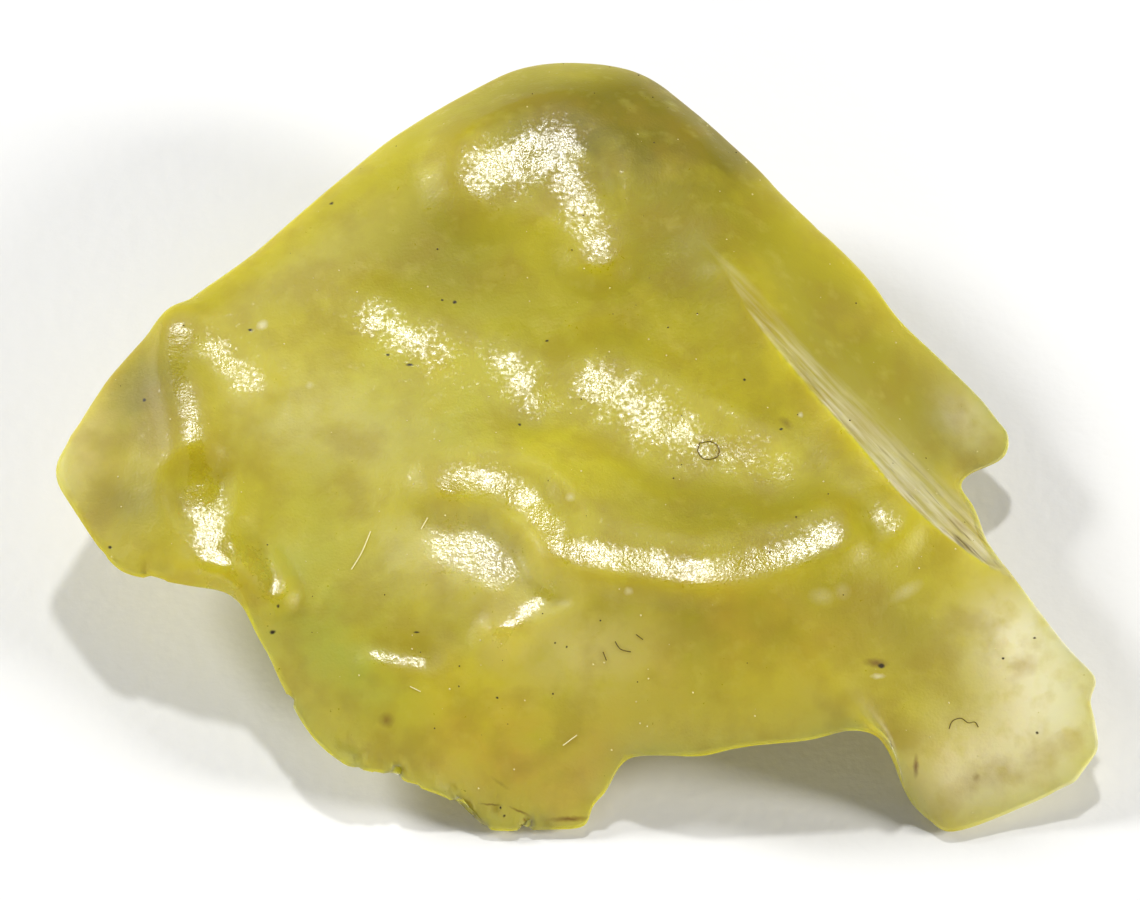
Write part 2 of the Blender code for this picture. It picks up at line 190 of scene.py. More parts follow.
# Pale bubbles; the one at (-8.93, 3.63) is a painted glint.
BUBBLES_AND_GLINT = (
    (0.0, -1.36, 0.17, 0.15, 0, 0.5), (1.68, -4.06, 0.16, 0.15, 0, 0.5), (-7.54, 1.88, 0.15, 0.13, 0, 0.4),
    (7.25, -4.20, 0.45, 0.30, 0, 0.25), (7.83, -4.06, 0.3, 0.3, 0, 0.2), (9.7, -4.06, 0.6, 0.25, 30, 0.3),
    (6.67, 1.02, 0.10, 0.10, 0, 0.9), (-8.93, 3.63, 0.22, 0.16, 30, 0.8), (8.85, -6.50, 0.25, 0.10, 0, 0.8),
)

# Hairs on the top: (across, up) along each.
DARK_HAIRS = (
    ((3.75, 0.20), (4.10, 0.23), (4.30, 0.05), (4.25, -0.20), (3.90, -0.27), (3.70, -0.05), (3.75, 0.20)),
    ((10.90, -8.02), (11.00, -7.80), (11.25, -7.72), (11.45, -7.85), (11.65, -7.83), (11.75, -7.98)),
    ((1.30, -5.50), (1.45, -5.72), (1.75, -5.80)), ((0.95, -5.80), (1.05, -6.05)), ((1.9, -5.3), (2.1, -5.45)),
)
STRAW_HAIRS = (
    ((-5.75, -2.35), (-6.00, -2.95), (-6.30, -3.45)), ((-4.1, -1.95), (-4.3, -2.3)),
    ((-4.6, -6.8), (-4.3, -6.95)), ((-0.2, -8.5), (0.2, -8.2)),
)


def linear(hex_colour):
    """An sRGB hex colour as linear light, with alpha 1."""
    channels = (int(hex_colour[i:i + 2], 16) / 255 for i in (1, 3, 5))
    return (*(c / 12.92 if c <= 0.04045 else ((c + 0.055) / 1.055) ** 2.4 for c in channels), 1)


def add(tree, kind, inputs=None, out=0, **settings):
    """Adds a node with its settings, input values and links, and returns its output of this name or number,
    or the whole node where out is None. Inputs are named or numbered too."""
    node = tree.nodes.new(kind)
    for name, value in settings.items():
        setattr(node, name, value)
    for key, value in (inputs or {}).items():
        if isinstance(value, bpy.types.NodeSocket):
            tree.links.new(value, node.inputs[key])
        else:
            node.inputs[key].default_value = value
    return node if out is None else node.outputs[out]


def vertices_mm(mesh):
    co = np.empty(len(mesh.vertices) * 3)
    mesh.vertices.foreach_get("co", co)
    return co.reshape(-1, 3) / MM


def set_vertices_mm(mesh, points):
    mesh.vertices.foreach_set("co", (points * MM).ravel())
    mesh.update()


def normals_of(mesh):
    n = np.empty(len(mesh.vertices) * 3)
    mesh.vertices.foreach_get("normal", n)
    return n.reshape(-1, 3)


def seen(points):
    """(across, up) of row-frame points in millimetres."""
    across = points[:, 0] - SURVEY_CENTRE[0]
    sine, cosine = math.sin(SURVEY_ELEVATION), math.cos(SURVEY_ELEVATION)
    up = (points[:, 1] - SURVEY_CENTRE[1]) * sine + points[:, 2] * cosine
    return across, up


def through(points, step):
    """Points every step or so along the smooth curve through the given ones."""
    p = np.asarray(points, float)
    n = len(p)
    fine = np.linspace(0, n - 1, 30 * n)
    i = np.minimum(fine.astype(int), n - 2)
    t = (fine - i)[:, None]
    a, b, c, d = (p[np.clip(i + k, 0, n - 1)] for k in (-1, 0, 1, 2))
    curve = 0.5 * (2 * b + (c - a) * t + (2 * a - 5 * b + 4 * c - d) * t**2 + (3 * b - a - 3 * c + d) * t**3)
    run = np.concatenate(([0], np.cumsum(np.linalg.norm(np.diff(curve, axis=0), axis=1))))
    steps = np.linspace(0, run[-1], max(2, round(run[-1] / step)))
    return np.column_stack([np.interp(steps, run, column) for column in curve.T])


def along(line, across, up, step=0.1):
    """For each (across, up): its distance to the line, its side (+1 on the right of the way along it) and its
    share of the way along."""
    p = through(line, step)
    best = np.full(len(across), np.inf)
    side = np.zeros(len(across))
    share = np.zeros(len(across))
    for k in range(len(p) - 1):
        (ax, ay), (bx, by) = p[k], p[k + 1]
        dx, dy = bx - ax, by - ay
        t = np.clip(((across - ax) * dx + (up - ay) * dy) / (dx * dx + dy * dy), 0, 1)
        d = np.hypot(across - ax - t * dx, up - ay - t * dy)
        nearer = d < best
        best = np.where(nearer, d, best)
        turn = dy * (across - ax) - dx * (up - ay)
        side = np.where(nearer, np.sign(turn), side)
        share = np.where(nearer, (k + t) / (len(p) - 1), share)
    return best, side, share


def ease(low, high, value):
    t = np.clip((value - low) / (high - low), 0, 1)
    return t * t * (3 - 2 * t)


def clouds(points, size, octaves=3, seed=0.0):
    """Soft noise from about -1 to 1, with lumps of this size in millimetres."""
    shift = Vector((seed, 2 * seed, -seed))
    return np.array([noise.fractal(Vector(p) / size + shift, 1.0, 2.0, octaves) for p in points])


def patch(across, up, middle, reach, turn=0.0):
    """1 in the middle of an oval spot, fading to 0 around it. reach is (along, aside), turn is in degrees."""
    c, s = math.cos(math.radians(turn)), math.sin(math.radians(turn))
    x, y = across - middle[0], up - middle[1]
    return np.exp(-(((x * c + y * s) / reach[0]) ** 2) - ((y * c - x * s) / reach[1]) ** 2)


def refined(node):
    """A copy of the CAD solid's mesh, welded, back in quads and smoothly subdivided, that still passes through
    the solid's own vertices."""
    bm = bmesh.new()
    bm.from_mesh(node.data)
    bmesh.ops.remove_doubles(bm, verts=bm.verts, dist=1e-7)
    bmesh.ops.join_triangles(bm, faces=bm.faces, angle_face_threshold=3.0, angle_shape_threshold=3.0)
    mesh = bpy.data.meshes.new("glass_skin")
    bm.to_mesh(mesh)
    bm.free()
    skin = bpy.data.objects.new("glass_skin", mesh)
    bpy.context.scene.collection.objects.link(skin)
    smooth = skin.modifiers.new("smooth", "SUBSURF")
    smooth.levels = smooth.render_levels = 2
    wanted = vertices_mm(mesh)
    cage = wanted.copy()
    for _ in range(5):
        depsgraph = bpy.context.evaluated_depsgraph_get()
        finished = bpy.data.meshes.new_from_object(skin.evaluated_get(depsgraph))
        cage += wanted - vertices_mm(finished)[:len(wanted)]
        set_vertices_mm(mesh, cage)
    skin.modifiers.clear()
    skin.data = finished
    return skin


def direction(azimuth, elevation):
    """The way to a far point. Azimuth 0 is behind the fragment and 90 on its right."""
    a, e = math.radians(azimuth), math.radians(elevation)
    return Vector((math.sin(a) * math.cos(e), math.cos(a) * math.cos(e), math.sin(e)))


def mirror_slopes(x, y, z):
    """The slopes of the top along X and Y that mirror the back lamp to the eye from this place."""
    place = Vector((x, y, z))
    to_lamp = direction(*BACK_LAMP) * BACK_LAMP_DISTANCE / MM - place
    to_eye = Vector((*SURVEY_CENTRE, 0)) + TO_EYE * (EYE_DISTANCE + MIDDLE_DEPTH) - place
    half = to_lamp.normalized() + to_eye.normalized()
    return -half.x / half.z, -half.y / half.z


def level_facets(points, normals):
    """Levels the top around each facet's line towards the angle that mirrors the back lamp to the eye."""
    across, up = seen(points)
    top = ease(0.1, 0.4, normals[:, 2])
    x, y, z = points.T.copy()
    for facet in FACETS:
        d, _, share = along(facet["line"], across, up)
        flat = facet["reach"] + 0.5 * facet["edge"]
        weight = ease(flat + facet["fade"], flat, d) * top
        near = weight > 0.4
        x_slope, y_slope = mirror_slopes(*(points[near] * weight[near, None]).sum(axis=0) / weight[near].sum())
        slopes = x_slope * x + y_slope * y - 0.02 * d * d
        steps = np.linspace(0, 1, 17)
        spread = 0.08 if facet.get("follows") else 5
        closeness = weight[near] * np.exp(-(((share[near] - steps[:, None]) / spread) ** 2))
        base = closeness @ (z - slopes)[near] / (closeness.sum(axis=1) + 1e-9)
        plane = np.interp(share, steps, base) + slopes
        z += weight * facet["share"] * np.clip(plane - z, -0.4, 0.4)
    return np.column_stack((x, y, z))


def polish_of(across, up):
    """1 along the facets' lines, fading to 0 at the ends of their polish."""
    polish = np.zeros(len(across))
    for facet in FACETS:
        d, _, share = along(facet["line"], across, up)
        shine = facet["shine"] * ease(facet["reach"] + facet["edge"], 0.4 * facet["reach"], d)
        polish = np.maximum(polish, shine)
    return polish


def shape_top(points, normals):
    """How far each vertex of the top moves out along its normal: the ridge's step, swells, lip and chips."""
    across, up = seen(points)
    top = ease(0.0, 0.35, normals[:, 2])
    out = np.zeros(len(points))
    d, side, share = along(RIGHT_RIDGE, across, up)
    beyond = side < 0
    fade_in = ease(0.05, 0.45, share) * ease(0.0, 0.05, 1 - share)
    out += fade_in * np.where(beyond, -0.25 * ease(0.0, 0.22, d) * np.exp(-d / 1.6), 0.03 * np.exp(-d / 0.25))
    out += 0.03 * clouds(points, 3.2, 2, 1.0)
    out += 0.006 * clouds(points, 0.8, 2, 5.0)
    out *= top
    d, _, share = along(BACK_RIM, across, up)
    lip = np.exp(-((d / 0.5) ** 2)) * ease(0.0, 0.2, share) * ease(0.0, 0.2, 1 - share)
    out += 0.15 * lip * ease(-0.3, 0.2, normals[:, 2])
    d, _, share = along(CHIPPED_RIM, across, up)
    rim = np.exp(-((d / 0.45) ** 2)) * ease(0.0, 0.06, share) * ease(0.0, 0.06, 1 - share)
    return out - 0.24 * rim * (points[:, 2] > 0.15) * ease(0.0, 0.5, clouds(points, 0.55, 2, 9.0))


def thickness_of(points, normals, solid):
    """How thick the glass is under each vertex, in millimetres, at most 8."""
    thick = np.full(len(points), 8.0)
    for i in range(len(points)):
        n = Vector(normals[i])
        hit = solid.ray_cast(Vector(points[i]) - n * 0.02, -n, 8.0)
        if hit[0] is not None:
            thick[i] = hit[3]
    return thick


def solid_of(mesh):
    co = [Vector(p) for p in vertices_mm(mesh)]
    return BVHTree.FromPolygons(co, [p.vertices[:] for p in mesh.polygons])


def store(mesh, name, values):
    layer = mesh.attributes.new(name, "FLOAT", "POINT")
    layer.data.foreach_set("value", np.asarray(values, np.float32))


def paint(mesh):
    """What the material reads at each vertex: how thin, pale, green, ochre, deep, matt and polished the
    glass is there, and whether it is on the worn top. Pale is partly painted sheen, and deep partly painted
    shade."""
    points, normals = vertices_mm(mesh), normals_of(mesh)
    across, up = seen(points)
    thick = thickness_of(points, normals, solid_of(mesh))
    store(mesh, "thin", np.exp(-thick / 0.9) * (1 - ease(4.0, 7.0, up)))
    store(mesh, "top", ease(0.0, 0.25, normals[:, 2]))
    d, side, share = along(RIGHT_RIDGE, across, up)
    low_part = (side < 0) * ease(0.35, 0.7, share)
    whole = (side < 0) * ease(0.1, 0.4, share)
    # Beyond the right ridge the scuffed glass is paler and matt, and painted shade darkens its fall.
    beyond_ridge = {
        "pale": 0.15 * low_part * np.exp(-((d / 1.2) ** 2)),
        "deep_and_shade": 0.55 * whole * np.exp(-((d / 2.4) ** 2)),
        "matt": whole * np.exp(-((d / 2.2) ** 2)),
    }
    for name, patches in PATCHES.items():
        total = sum(strength * patch(across, up, *place) for strength, *place in patches)
        store(mesh, name, np.clip(total + beyond_ridge.get(name, 0), 0, 1))
    store(mesh, "polish", polish_of(across, up))


def cloud(tree, mm, lump, detail, start, end):
    """Soft noise with lumps of this size in millimetres: 0 up to start, rising evenly to 1 at end."""
    noise_there = add(tree, "ShaderNodeTexNoise", {"Vector": mm, "Scale": 1 / lump, "Detail": detail}, "Fac")
    return add(tree, "ShaderNodeMapRange", {0: noise_there, 1: start, 2: end}, clamp=True)


def painted(tree, mm, name, lump=5 / 3, start=0.2, end=0.6):
    """One of the skin's painted fields, broken up by soft lumps."""
    spots = cloud(tree, mm, lump, 4, start, end)
    field = add(tree, "ShaderNodeAttribute", None, "Fac", attribute_name=name)
    return add(tree, "ShaderNodeMath", {0: field, 1: spots}, operation="MULTIPLY")


def survey_plane(tree, mm):
    """(across, up, 0) of the place in the row frame, in millimetres."""
    sine, cosine = math.sin(SURVEY_ELEVATION), math.cos(SURVEY_ELEVATION)
    x, y, z = add(tree, "ShaderNodeSeparateXYZ", {0: mm}, None).outputs
    across = add(tree, "ShaderNodeMath", {0: x, 1: SURVEY_CENTRE[0]}, operation="SUBTRACT")
    rise = add(tree, "ShaderNodeMath", {0: y, 1: sine, 2: -SURVEY_CENTRE[1] * sine}, operation="MULTIPLY_ADD")
    up = add(tree, "ShaderNodeMath", {0: z, 1: cosine, 2: rise}, operation="MULTIPLY_ADD")
    return add(tree, "ShaderNodeCombineXYZ", {0: across, 1: up})


def ragged_plane(tree, mm, plane):
    """The survey plane pushed about by up to 0.04 mm, in lumps of a seventh of a millimetre, so that the marks
    have natural edges."""
    push = add(tree, "ShaderNodeTexNoise", {"Vector": mm, "Scale": 7.0, "Detail": 2.0}, "Color")
    push = add(tree, "ShaderNodeVectorMath", {
        0: push, 1: (0.08,) * 3, 2: (-0.04,) * 3}, operation="MULTIPLY_ADD")
    pushed = add(tree, "ShaderNodeVectorMath", {0: push, 1: plane}, operation="ADD")
    return add(tree, "ShaderNodeVectorMath", {0: pushed, 1: (1, 1, 0)}, operation="MULTIPLY")


def ovals(tree, plane, top, marks, soft):
    """How strongly each place of the top lies inside the marks, which fade over their outer soft share.
    Marks of one strength share one fade, to keep the material quick."""
    nearest = {}
    for across, up, reach, aside, turn, *strength in marks:
        if turn:
            local = add(tree, "ShaderNodeMapping", {
                "Vector": plane, "Location": (across, up, 0), "Rotation": (0, 0, math.radians(turn)),
                "Scale": (reach, aside, 1)}, vector_type="TEXTURE")
        else:
            local = add(tree, "ShaderNodeVectorMath", {
                0: plane, 1: (1 / reach, 1 / aside, 0), 2: (-across / reach, -up / aside, 0)},
                operation="MULTIPLY_ADD")
        out = add(tree, "ShaderNodeVectorMath", {0: local}, "Value", operation="LENGTH")
        group = strength[0] if strength else 1.0
        if group in nearest:
            out = add(tree, "ShaderNodeMath", {0: out, 1: nearest[group]}, operation="MINIMUM")
        nearest[group] = out
    total = 0.0
    for strength, out in nearest.items():
        inside = add(tree, "ShaderNodeMapRange", {0: out, 1: 1, 2: 1 - soft, 4: strength}, clamp=True)
        total = add(tree, "ShaderNodeMath", {0: inside, 1: total}, operation="MAXIMUM")
    return add(tree, "ShaderNodeMath", {0: total, 1: top}, operation="MULTIPLY")


def past_ridge(tree, plane):
    """How far, in millimetres, each place lies beyond the right ridge, and its share of the way down it."""
    across, up, _ = add(tree, "ShaderNodeSeparateXYZ", {0: plane}, None).outputs
    low, high = RIGHT_RIDGE[-1][1], RIGHT_RIDGE[0][1]
    near, far = RIGHT_RIDGE[0][0], RIGHT_RIDGE[-1][0]
    height = add(tree, "ShaderNodeMapRange", {0: up, 1: low, 2: high}, clamp=True)
    bend = add(tree, "ShaderNodeFloatCurve", {"Value": height}, None)
    curve = bend.mapping.curves[0]
    places = [((b - low) / (high - low), (a - near) / (far - near)) for a, b in reversed(RIGHT_RIDGE)]
    curve.points[0].location = places[0]
    curve.points[1].location = places[-1]
    for place in places[1:-1]:
        curve.points.new(*place)
    bend.mapping.update()
    line = add(tree, "ShaderNodeMath", {0: bend.outputs[0], 1: far - near, 2: near}, operation="MULTIPLY_ADD")
    gap = add(tree, "ShaderNodeMath", {0: across, 1: line}, operation="SUBTRACT")
    slant = math.cos(math.atan2(far - near, high - low))
    beyond = add(tree, "ShaderNodeMath", {0: gap, 1: slant}, operation="MULTIPLY")
    share = add(tree, "ShaderNodeMath", {0: 1.0, 1: height}, operation="SUBTRACT")
    return beyond, share


def veil(tree, plane, top):
    """The scuffed band just beyond the right ridge: how pale it is, and the brown streaks in it. Both run along
    the ridge, a sixth and a ninth of a millimetre wide and twelve times as long, and are crisp at it."""
    beyond, share = past_ridge(tree, plane)
    width = add(tree, "ShaderNodeMath", {0: share, 1: 1.3, 2: 0.35}, operation="MULTIPLY_ADD")
    reach = add(tree, "ShaderNodeMath", {0: beyond, 1: width}, operation="DIVIDE")
    band = top
    for value, start, end in ((reach, 1.0, 0.3), (beyond, -0.02, 0.05), (share, 0.995, 0.93)):
        part = add(tree, "ShaderNodeMapRange", {0: value, 1: start, 2: end}, clamp=True)
        band = add(tree, "ShaderNodeMath", {0: band, 1: part}, operation="MULTIPLY")
    streaked = add(tree, "ShaderNodeMapping", {
        "Vector": plane, "Rotation": (0, 0, math.radians(-46)), "Scale": (12.0, 1.0, 1.0)},
        vector_type="TEXTURE")
    streaks = cloud(tree, streaked, 1 / 6, 3, 0.38, 0.62)
    streaks = add(tree, "ShaderNodeMath", {0: streaks, 1: 0.92, 2: 0.08}, operation="MULTIPLY_ADD")
    grooves = cloud(tree, streaked, 1 / 9, 2, 0.56, 0.68)
    parts = []
    for value, start, end in ((streaks, 0.0, 0.35), (grooves, 0.5, 0.8)):
        fade_in = add(tree, "ShaderNodeMapRange", {0: share, 1: start, 2: end}, clamp=True)
        part = add(tree, "ShaderNodeMath", {0: value, 1: fade_in}, operation="MULTIPLY")
        parts.append(add(tree, "ShaderNodeMath", {0: band, 1: part}, operation="MULTIPLY"))
    return parts


def glass_colour(tree, mm, plane, top, thin, hazed, grooves):
    """The body colour, with some painted sheen, glint and shade, layer on layer: each has where it lies, how
    strongly, and the colour it turns to.
    """
    ragged = ragged_plane(tree, mm, plane)
    layers = (
        (cloud(tree, mm, 4.545, 4, 0.35, 0.65), 1.0, "#BEB216"),
        # Deeper olive glass, with painted shade on the back rim and beyond the right ridge.
        (painted(tree, mm, "deep_and_shade", 2.0, 0.05, 0.45), 1.0, "#857A00"),
        (painted(tree, mm, "green"), 1.0, "#B2B636"),
        (painted(tree, mm, "ochre", 5 / 3, 0.3, 0.65), 1.0, "#D0AC30"),
        # Pale milky glass, with painted sheen in two hollows.
        (painted(tree, mm, "pale", 5 / 6, 0.1, 0.5), 1.0, "#F6F1D2"),
        (thin, 0.42, "#ECE498"),
        (cloud(tree, mm, 10 / 7, 7, 0.46, 0.64), 0.36, "#A1881A"),
        (cloud(tree, mm, 0.625, 3, 0.55, 0.8), 0.25, "#DCD260"),
        (hazed, 0.6, "#E6E0C0"),
        (grooves, 0.8, "#5E4A18"),
        # Pale bubbles and one painted glint.
        (ovals(tree, ragged, top, BUBBLES_AND_GLINT, 0.8), 1.0, "#E6DFB4"),
        (ovals(tree, ragged, top, STAINS, 0.9), 1.0, "#7A5216"),
        (ovals(tree, ragged, top, SPECKS, 0.6), 1.0, "#2E2408"),
    )
    colour = linear("#CEC21E")
    for where, strength, hex_colour in layers:
        share = add(tree, "ShaderNodeMath", {0: where, 1: strength}, operation="MULTIPLY")
        colour = add(tree, "ShaderNodeMix", {0: share, 6: colour, 7: linear(hex_colour)}, 2, data_type="RGBA")
    return colour


def glass_waves(tree, mm):
    """The skin's fine relief: soft waves half a millimetre long and, on them, a grain of a twelfth."""
    waves = add(tree, "ShaderNodeTexNoise", {"Vector": mm, "Scale": 2.0, "Detail": 3.0}, "Fac")
    grain = add(tree, "ShaderNodeTexNoise", {"Vector": mm, "Scale": 12.0, "Detail": 2.0}, "Fac")
    broad = add(tree, "ShaderNodeBump", {"Strength": 1.0, "Distance": 0.02 * MM, "Height": waves})
    return add(tree, "ShaderNodeBump", {
        "Strength": 1.0, "Distance": 0.009 * MM, "Height": grain, "Normal": broad})


def glass_wear(tree, mm, hazed):
    """How rough the skin is: satin, but polished on the facets, whose edges break up into speckles an eighth
    of a millimetre wide, and matt where it is scuffed."""
    polish = add(tree, "ShaderNodeAttribute", None, "Fac", attribute_name="polish")
    for per_mm, detail, depth in ((8.0, 4.0, 2.4), (1.6, 2.0, 1.2)):
        ragged = add(tree, "ShaderNodeTexNoise", {"Vector": mm, "Scale": per_mm, "Detail": detail}, "Fac")
        ragged = add(tree, "ShaderNodeMath", {0: ragged, 1: depth, 2: -depth / 2}, operation="MULTIPLY_ADD")
        polish = add(tree, "ShaderNodeMath", {0: polish, 1: ragged}, operation="ADD")
    polished = add(tree, "ShaderNodeMapRange", {0: polish, 1: 0.20, 2: 0.95}, clamp=True)
    worn = add(tree, "ShaderNodeMath", {0: polished, 1: POLISHED - SATIN, 2: SATIN}, operation="MULTIPLY_ADD")
    matt = add(tree, "ShaderNodeAttribute", None, "Fac", attribute_name="matt")
    matt = add(tree, "ShaderNodeMath", {0: matt, 1: hazed}, operation="MAXIMUM")
    matt = add(tree, "ShaderNodeMath", {0: matt, 1: MATT - 0.2, 2: 0.2}, operation="MULTIPLY_ADD")
    return add(tree, "ShaderNodeMath", {0: worn, 1: matt}, operation="MAXIMUM")


def glass_material():
    """Natural silica glass, worn satin by blown sand: light soaks in and glows back olive-yellow, thin places
    go cream, and fine waves break up the lamps' reflections."""
    material = bpy.data.materials.new("desert_glass")
    material.use_nodes = True
    tree = material.node_tree
    shader = tree.nodes["Principled BSDF"]
    place = add(tree, "ShaderNodeTexCoord", None, "Object")
    mm = add(tree, "ShaderNodeVectorMath", {0: place, "Scale": 1 / MM}, operation="SCALE")
    plane = survey_plane(tree, mm)
    top = add(tree, "ShaderNodeAttribute", None, "Fac", attribute_name="top")
    thin = add(tree, "ShaderNodeAttribute", None, "Fac", attribute_name="thin")
    hazed, grooves = veil(tree, plane, top)
    links = {
        "Base Color": glass_colour(tree, mm, plane, top, thin, hazed, grooves),
        "Normal": glass_waves(tree, mm),
        "Roughness": glass_wear(tree, mm, hazed),
        "Transmission Weight": add(tree, "ShaderNodeMath", {
            0: thin, 1: 0.5, 2: 0.12}, operation="MULTIPLY_ADD"),
    }
    for name, value in links.items():
        tree.links.new(value, shader.inputs[name])
    shader.inputs["IOR"].default_value = 1.46
    shader.inputs["Specular IOR Level"].default_value = 0.58
    shader.inputs["Subsurface Weight"].default_value = 0.85
    shader.inputs["Subsurface Radius"].default_value = (1.0, 0.85, 0.25)
    shader.inputs["Subsurface Scale"].default_value = 1.6 * MM
    return material


def floor_material():
    """Matt white card: it has no shine, and a faint tooth half a millimetre wide."""
    material = bpy.data.materials.new("white_card")
    material.use_nodes = True
    tree = material.node_tree
    shader = tree.nodes["Principled BSDF"]
    shader.inputs["Base Color"].default_value = linear("#F4F4F4")
    shader.inputs["Roughness"].default_value = 1.0
    shader.inputs["Specular IOR Level"].default_value = 0.0
    place = add(tree, "ShaderNodeTexCoord", None, "Object")
    tooth = add(tree, "ShaderNodeTexNoise", {"Vector": place, "Scale": 2.0 / MM, "Detail": 4.0}, "Fac")
    bump = add(tree, "ShaderNodeBump", {"Strength": 0.4, "Distance": 0.05 * MM, "Height": tooth})
    tree.links.new(bump, shader.inputs["Normal"])
    return material


def soothed(mesh):
    """The skin's points with the places of CALM evened out: each point of them moves to the middle of its
    neighbours, many times over."""
    points = vertices_mm(mesh)
    across, up = seen(points)
    share = sum(patch(across, up, *place) for place in CALM) * ease(0.1, 0.4, normals_of(mesh)[:, 2])
    share = np.clip(share, 0, 1)[:, None]
    ends = np.empty(2 * len(mesh.edges), int)
    mesh.edges.foreach_get("vertices", ends)
    a, b = ends.reshape(-1, 2).T
    count = np.bincount(ends, minlength=len(points))[:, None]
    for _ in range(CALM_ROUNDS):
        total = np.column_stack([
            np.bincount(a, column[b], len(points)) + np.bincount(b, column[a], len(points))
            for column in points.T
        ])
        points = points + share * (total / count - points)
    return points


def on_skin(solid, across, up, lift):
    """The place of the top that the eye sees at (across, up), lifted by this much, in the row frame."""
    ground = Vector((across + SURVEY_CENTRE[0], up / math.sin(SURVEY_ELEVATION) + SURVEY_CENTRE[1], 0))
    place, normal, *_ = solid.ray_cast(ground + TO_EYE * 100, -TO_EYE)
    return (place + normal * lift) * MM


def plain_material(name, hex_colour, roughness):
    material = bpy.data.materials.new(name)
    material.use_nodes = True
    shader = material.node_tree.nodes["Principled BSDF"]
    shader.inputs["Base Color"].default_value = linear(hex_colour)
    shader.inputs["Roughness"].default_value = roughness
    return material


def node_group(name, sizes):
    """A new Geometry Nodes tree with a geometry input and output and these size inputs, and its inputs."""
    group = bpy.data.node_groups.new(name, "GeometryNodeTree")
    group.interface.new_socket("Geometry", in_out="INPUT", socket_type="NodeSocketGeometry")
    for size, value in sizes.items():
        socket = group.interface.new_socket(size, in_out="INPUT", socket_type="NodeSocketFloat")
        socket.default_value = value
    group.interface.new_socket("Geometry", in_out="OUTPUT", socket_type="NodeSocketGeometry")
    return group, add(group, "NodeGroupInput", None, None).outputs


def made(name, mesh, group, sizes):
    """The plain mesh that the node tree makes from this mesh, as a new object."""
    piece = bpy.data.objects.new(name, mesh)
    bpy.context.scene.collection.objects.link(piece)
    modifier = piece.modifiers.new(name, "NODES")
    modifier.node_group = group
    for item in group.interface.items_tree:
        if item.in_out == "INPUT" and item.name in sizes:
            modifier[item.identifier] = sizes[item.name]
    depsgraph = bpy.context.evaluated_depsgraph_get()
    finished = bpy.data.meshes.new_from_object(piece.evaluated_get(depsgraph))
    piece.modifiers.clear()
    piece.data = finished
    return piece


def thread_tree(material):
    """Sweeps a round thread along every chain of edges."""
    group, given = node_group("thread", {"Thickness": 0.03 * MM})
    curve = add(group, "GeometryNodeMeshToCurve", {"Mesh": given["Geometry"]})
    half = add(group, "ShaderNodeMath", {0: given["Thickness"], 1: 0.5}, operation="MULTIPLY")
    ring = add(group, "GeometryNodeCurvePrimitiveCircle", {"Resolution": 6, "Radius": half})
    tube = add(group, "GeometryNodeCurveToMesh", {"Curve": curve, "Profile Curve": ring, "Fill Caps": True})
    real = add(group, "GeometryNodeRealizeInstances", {0: tube})
    coloured = add(group, "GeometryNodeSetMaterial", {"Geometry": real, "Material": material})
    add(group, "NodeGroupOutput", {0: coloured}, None)
    return group


def lint(name, solid, chains, thickness, material):
    """Fine hairs that lie on the top, each along its chain of (across, up) places."""
    mesh = bpy.data.meshes.new(name)
    places, edges = [], []
    for chain in chains:
        line = through(chain, 0.05)
        start = len(places)
        places += [on_skin(solid, a, b, thickness / 2) for a, b in line]
        edges += [(i, i + 1) for i in range(start, len(places) - 1)]
    mesh.from_pydata(places, edges, [])
    return made(name, mesh, thread_tree(material), {"Thickness": thickness * MM})


def grain_tree(material, seed):
    """Scatters small round grains over the worn top, half sunk in it."""
    group, given = node_group("grains", {"Grain size": 0.06 * MM, "Grains per square metre": 3e5})
    top = add(group, "GeometryNodeInputNamedAttribute", {"Name": "top"}, data_type="FLOAT")
    chosen = add(group, "FunctionNodeCompare", {0: top, 1: 0.9}, data_type="FLOAT", operation="GREATER_THAN")
    points = add(group, "GeometryNodeDistributePointsOnFaces", {
        "Mesh": given["Geometry"], "Selection": chosen, "Density": given["Grains per square metre"],
        "Seed": seed}, "Points")
    radius = add(group, "ShaderNodeMath", {0: given["Grain size"], 1: 0.5}, operation="MULTIPLY")
    ball = add(group, "GeometryNodeMeshIcoSphere", {"Radius": radius, "Subdivisions": 1})
    sizes = add(group, "FunctionNodeRandomValue", {2: 0.4, 3: 1.3, "Seed": seed + 1}, 1, data_type="FLOAT")
    spread = add(group, "GeometryNodeInstanceOnPoints", {"Points": points, "Instance": ball, "Scale": sizes})
    real = add(group, "GeometryNodeRealizeInstances", {0: spread})
    coloured = add(group, "GeometryNodeSetMaterial", {"Geometry": real, "Material": material})
    add(group, "NodeGroupOutput", {0: coloured}, None)
    return group


def grains(name, skin, size, per_square_mm, seed, material):
    sizes = {"Grain size": size * MM, "Grains per square metre": per_square_mm * 1e6}
    return made(name, skin.data.copy(), grain_tree(material, seed), sizes)


def glass_skin(node):
    skin = refined(node)
    mesh = skin.data
    set_vertices_mm(mesh, soothed(mesh))
    set_vertices_mm(mesh, level_facets(vertices_mm(mesh), normals_of(mesh)))
    points, normals = vertices_mm(mesh), normals_of(mesh)
    moved = points + normals * shape_top(points, normals)[:, None]
    moved[:, 2] = np.maximum(moved[:, 2], 0)
    set_vertices_mm(mesh, moved)
    mesh.shade_smooth()
    paint(mesh)
    mesh.materials.clear()
    mesh.materials.append(glass_material())
    return skin


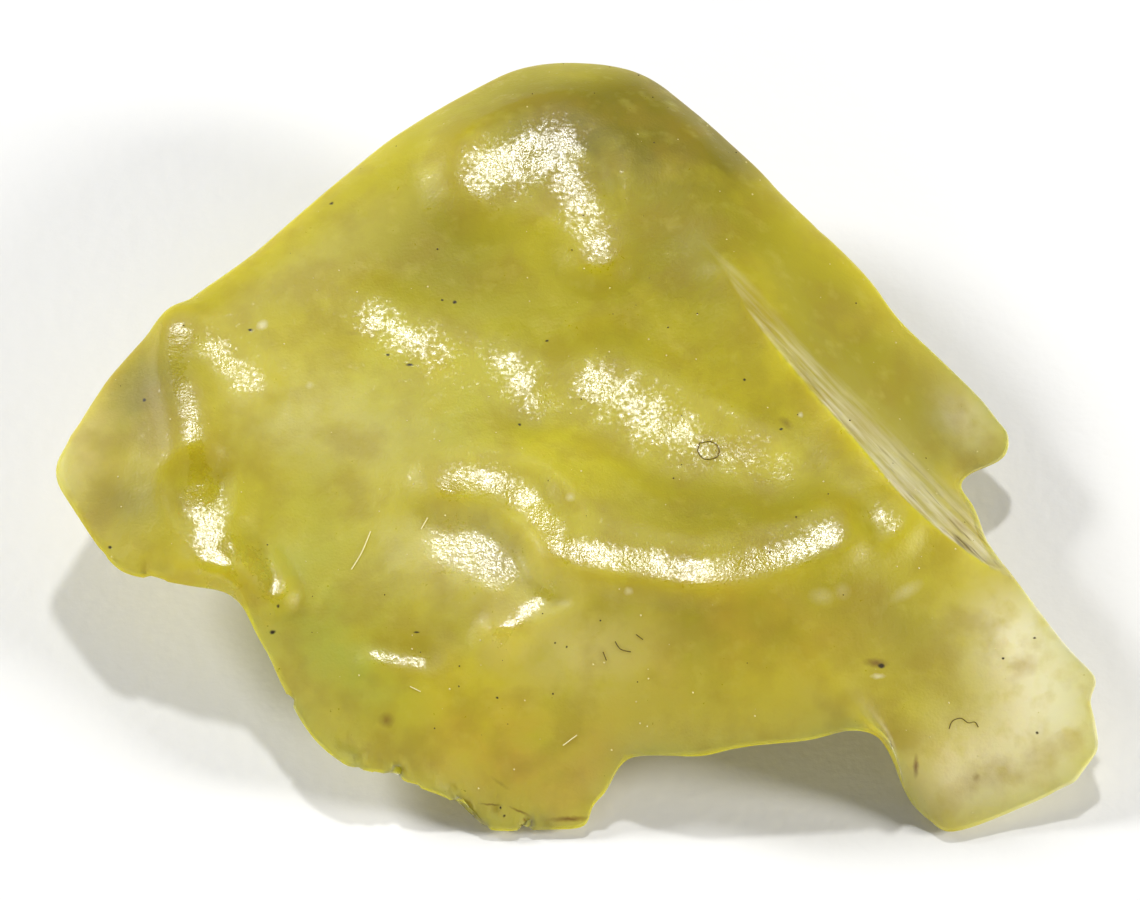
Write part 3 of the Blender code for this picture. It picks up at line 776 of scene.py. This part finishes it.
def dirt(skin):
    """The hairs and grains that lie on the glass. The hairs are dull plant and cloth fibres. The grains are
    quartz sand and iron-stained dust, which catch little light."""
    solid = solid_of(skin.data)
    brown = plain_material("brown_lint", "#5A4A1C", 0.7)
    straw = plain_material("straw_lint", "#E6DFA8", 0.5)
    pale = plain_material("pale_grit", "#DCD394", 0.5)
    dark = plain_material("dark_grit", "#4A3A12", 0.7)
    return (
        lint("dark_hairs", solid, DARK_HAIRS, 0.03, brown),
        lint("straw_hairs", solid, STRAW_HAIRS, 0.035, straw),
        grains("pale_grains", skin, 0.05, 0.35, 3, pale),
        grains("dark_grains", skin, 0.05, 0.10, 11, dark),
    )


def floor():
    half = 0.6
    mesh = bpy.data.meshes.new("floor")
    corners = [(-half, -half, 0), (half, -half, 0), (half, half, 0), (-half, half, 0)]
    mesh.from_pydata(corners, [], [(0, 1, 2, 3)])
    sheet = bpy.data.objects.new("floor", mesh)
    bpy.context.scene.collection.objects.link(sheet)
    mesh.materials.append(floor_material())
    sheet.location.z = -0.02 * MM
    return sheet


def lamp(name, azimuth, elevation, size, power, colour, distance):
    """A round soft lamp, aimed at the fragment."""
    towards = direction(azimuth, elevation)
    light = bpy.data.lights.new(name, "AREA")
    light.shape = "DISK"
    light.size = size
    light.energy = power
    light.color = colour
    holder = bpy.data.objects.new(name, light)
    holder.location = towards * distance
    holder.rotation_euler = towards.to_track_quat("Z", "Y").to_euler()
    bpy.context.scene.collection.objects.link(holder)


def room_light():
    world = bpy.data.worlds.new("room")
    bpy.context.scene.world = world
    world.use_nodes = True
    background = world.node_tree.nodes["Background"]
    background.inputs[0].default_value = ROOM_COLOUR
    background.inputs[1].default_value = ROOM_STRENGTH


def camera():
    data = bpy.data.cameras.new("eye")
    data.sensor_fit = "HORIZONTAL"
    data.sensor_width = 36
    data.lens = 36 * EYE_DISTANCE / FRAME_WIDTH
    data.clip_start = 0.01
    data.clip_end = 5
    eye = bpy.data.objects.new("eye", data)
    bpy.context.scene.collection.objects.link(eye)
    aim = Vector((*SURVEY_CENTRE, 0)) * MM
    eye.location = aim + TO_EYE * (EYE_DISTANCE + MIDDLE_DEPTH) * MM
    eye.rotation_euler = (math.pi / 2 - SURVEY_ELEVATION, 0, 0)
    bpy.context.scene.camera = eye


def main():
    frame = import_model()
    skin = glass_skin(frame["nodes"]["glass_fragment"])
    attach(skin, "root")
    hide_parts("glass_fragment")
    for piece in dirt(skin):
        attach(piece, "root")
    floor()
    for name, settings in LAMPS.items():
        lamp(name, *settings)
    room_light()
    camera()
    bpy.context.scene.view_settings.view_transform = "Standard"


main()
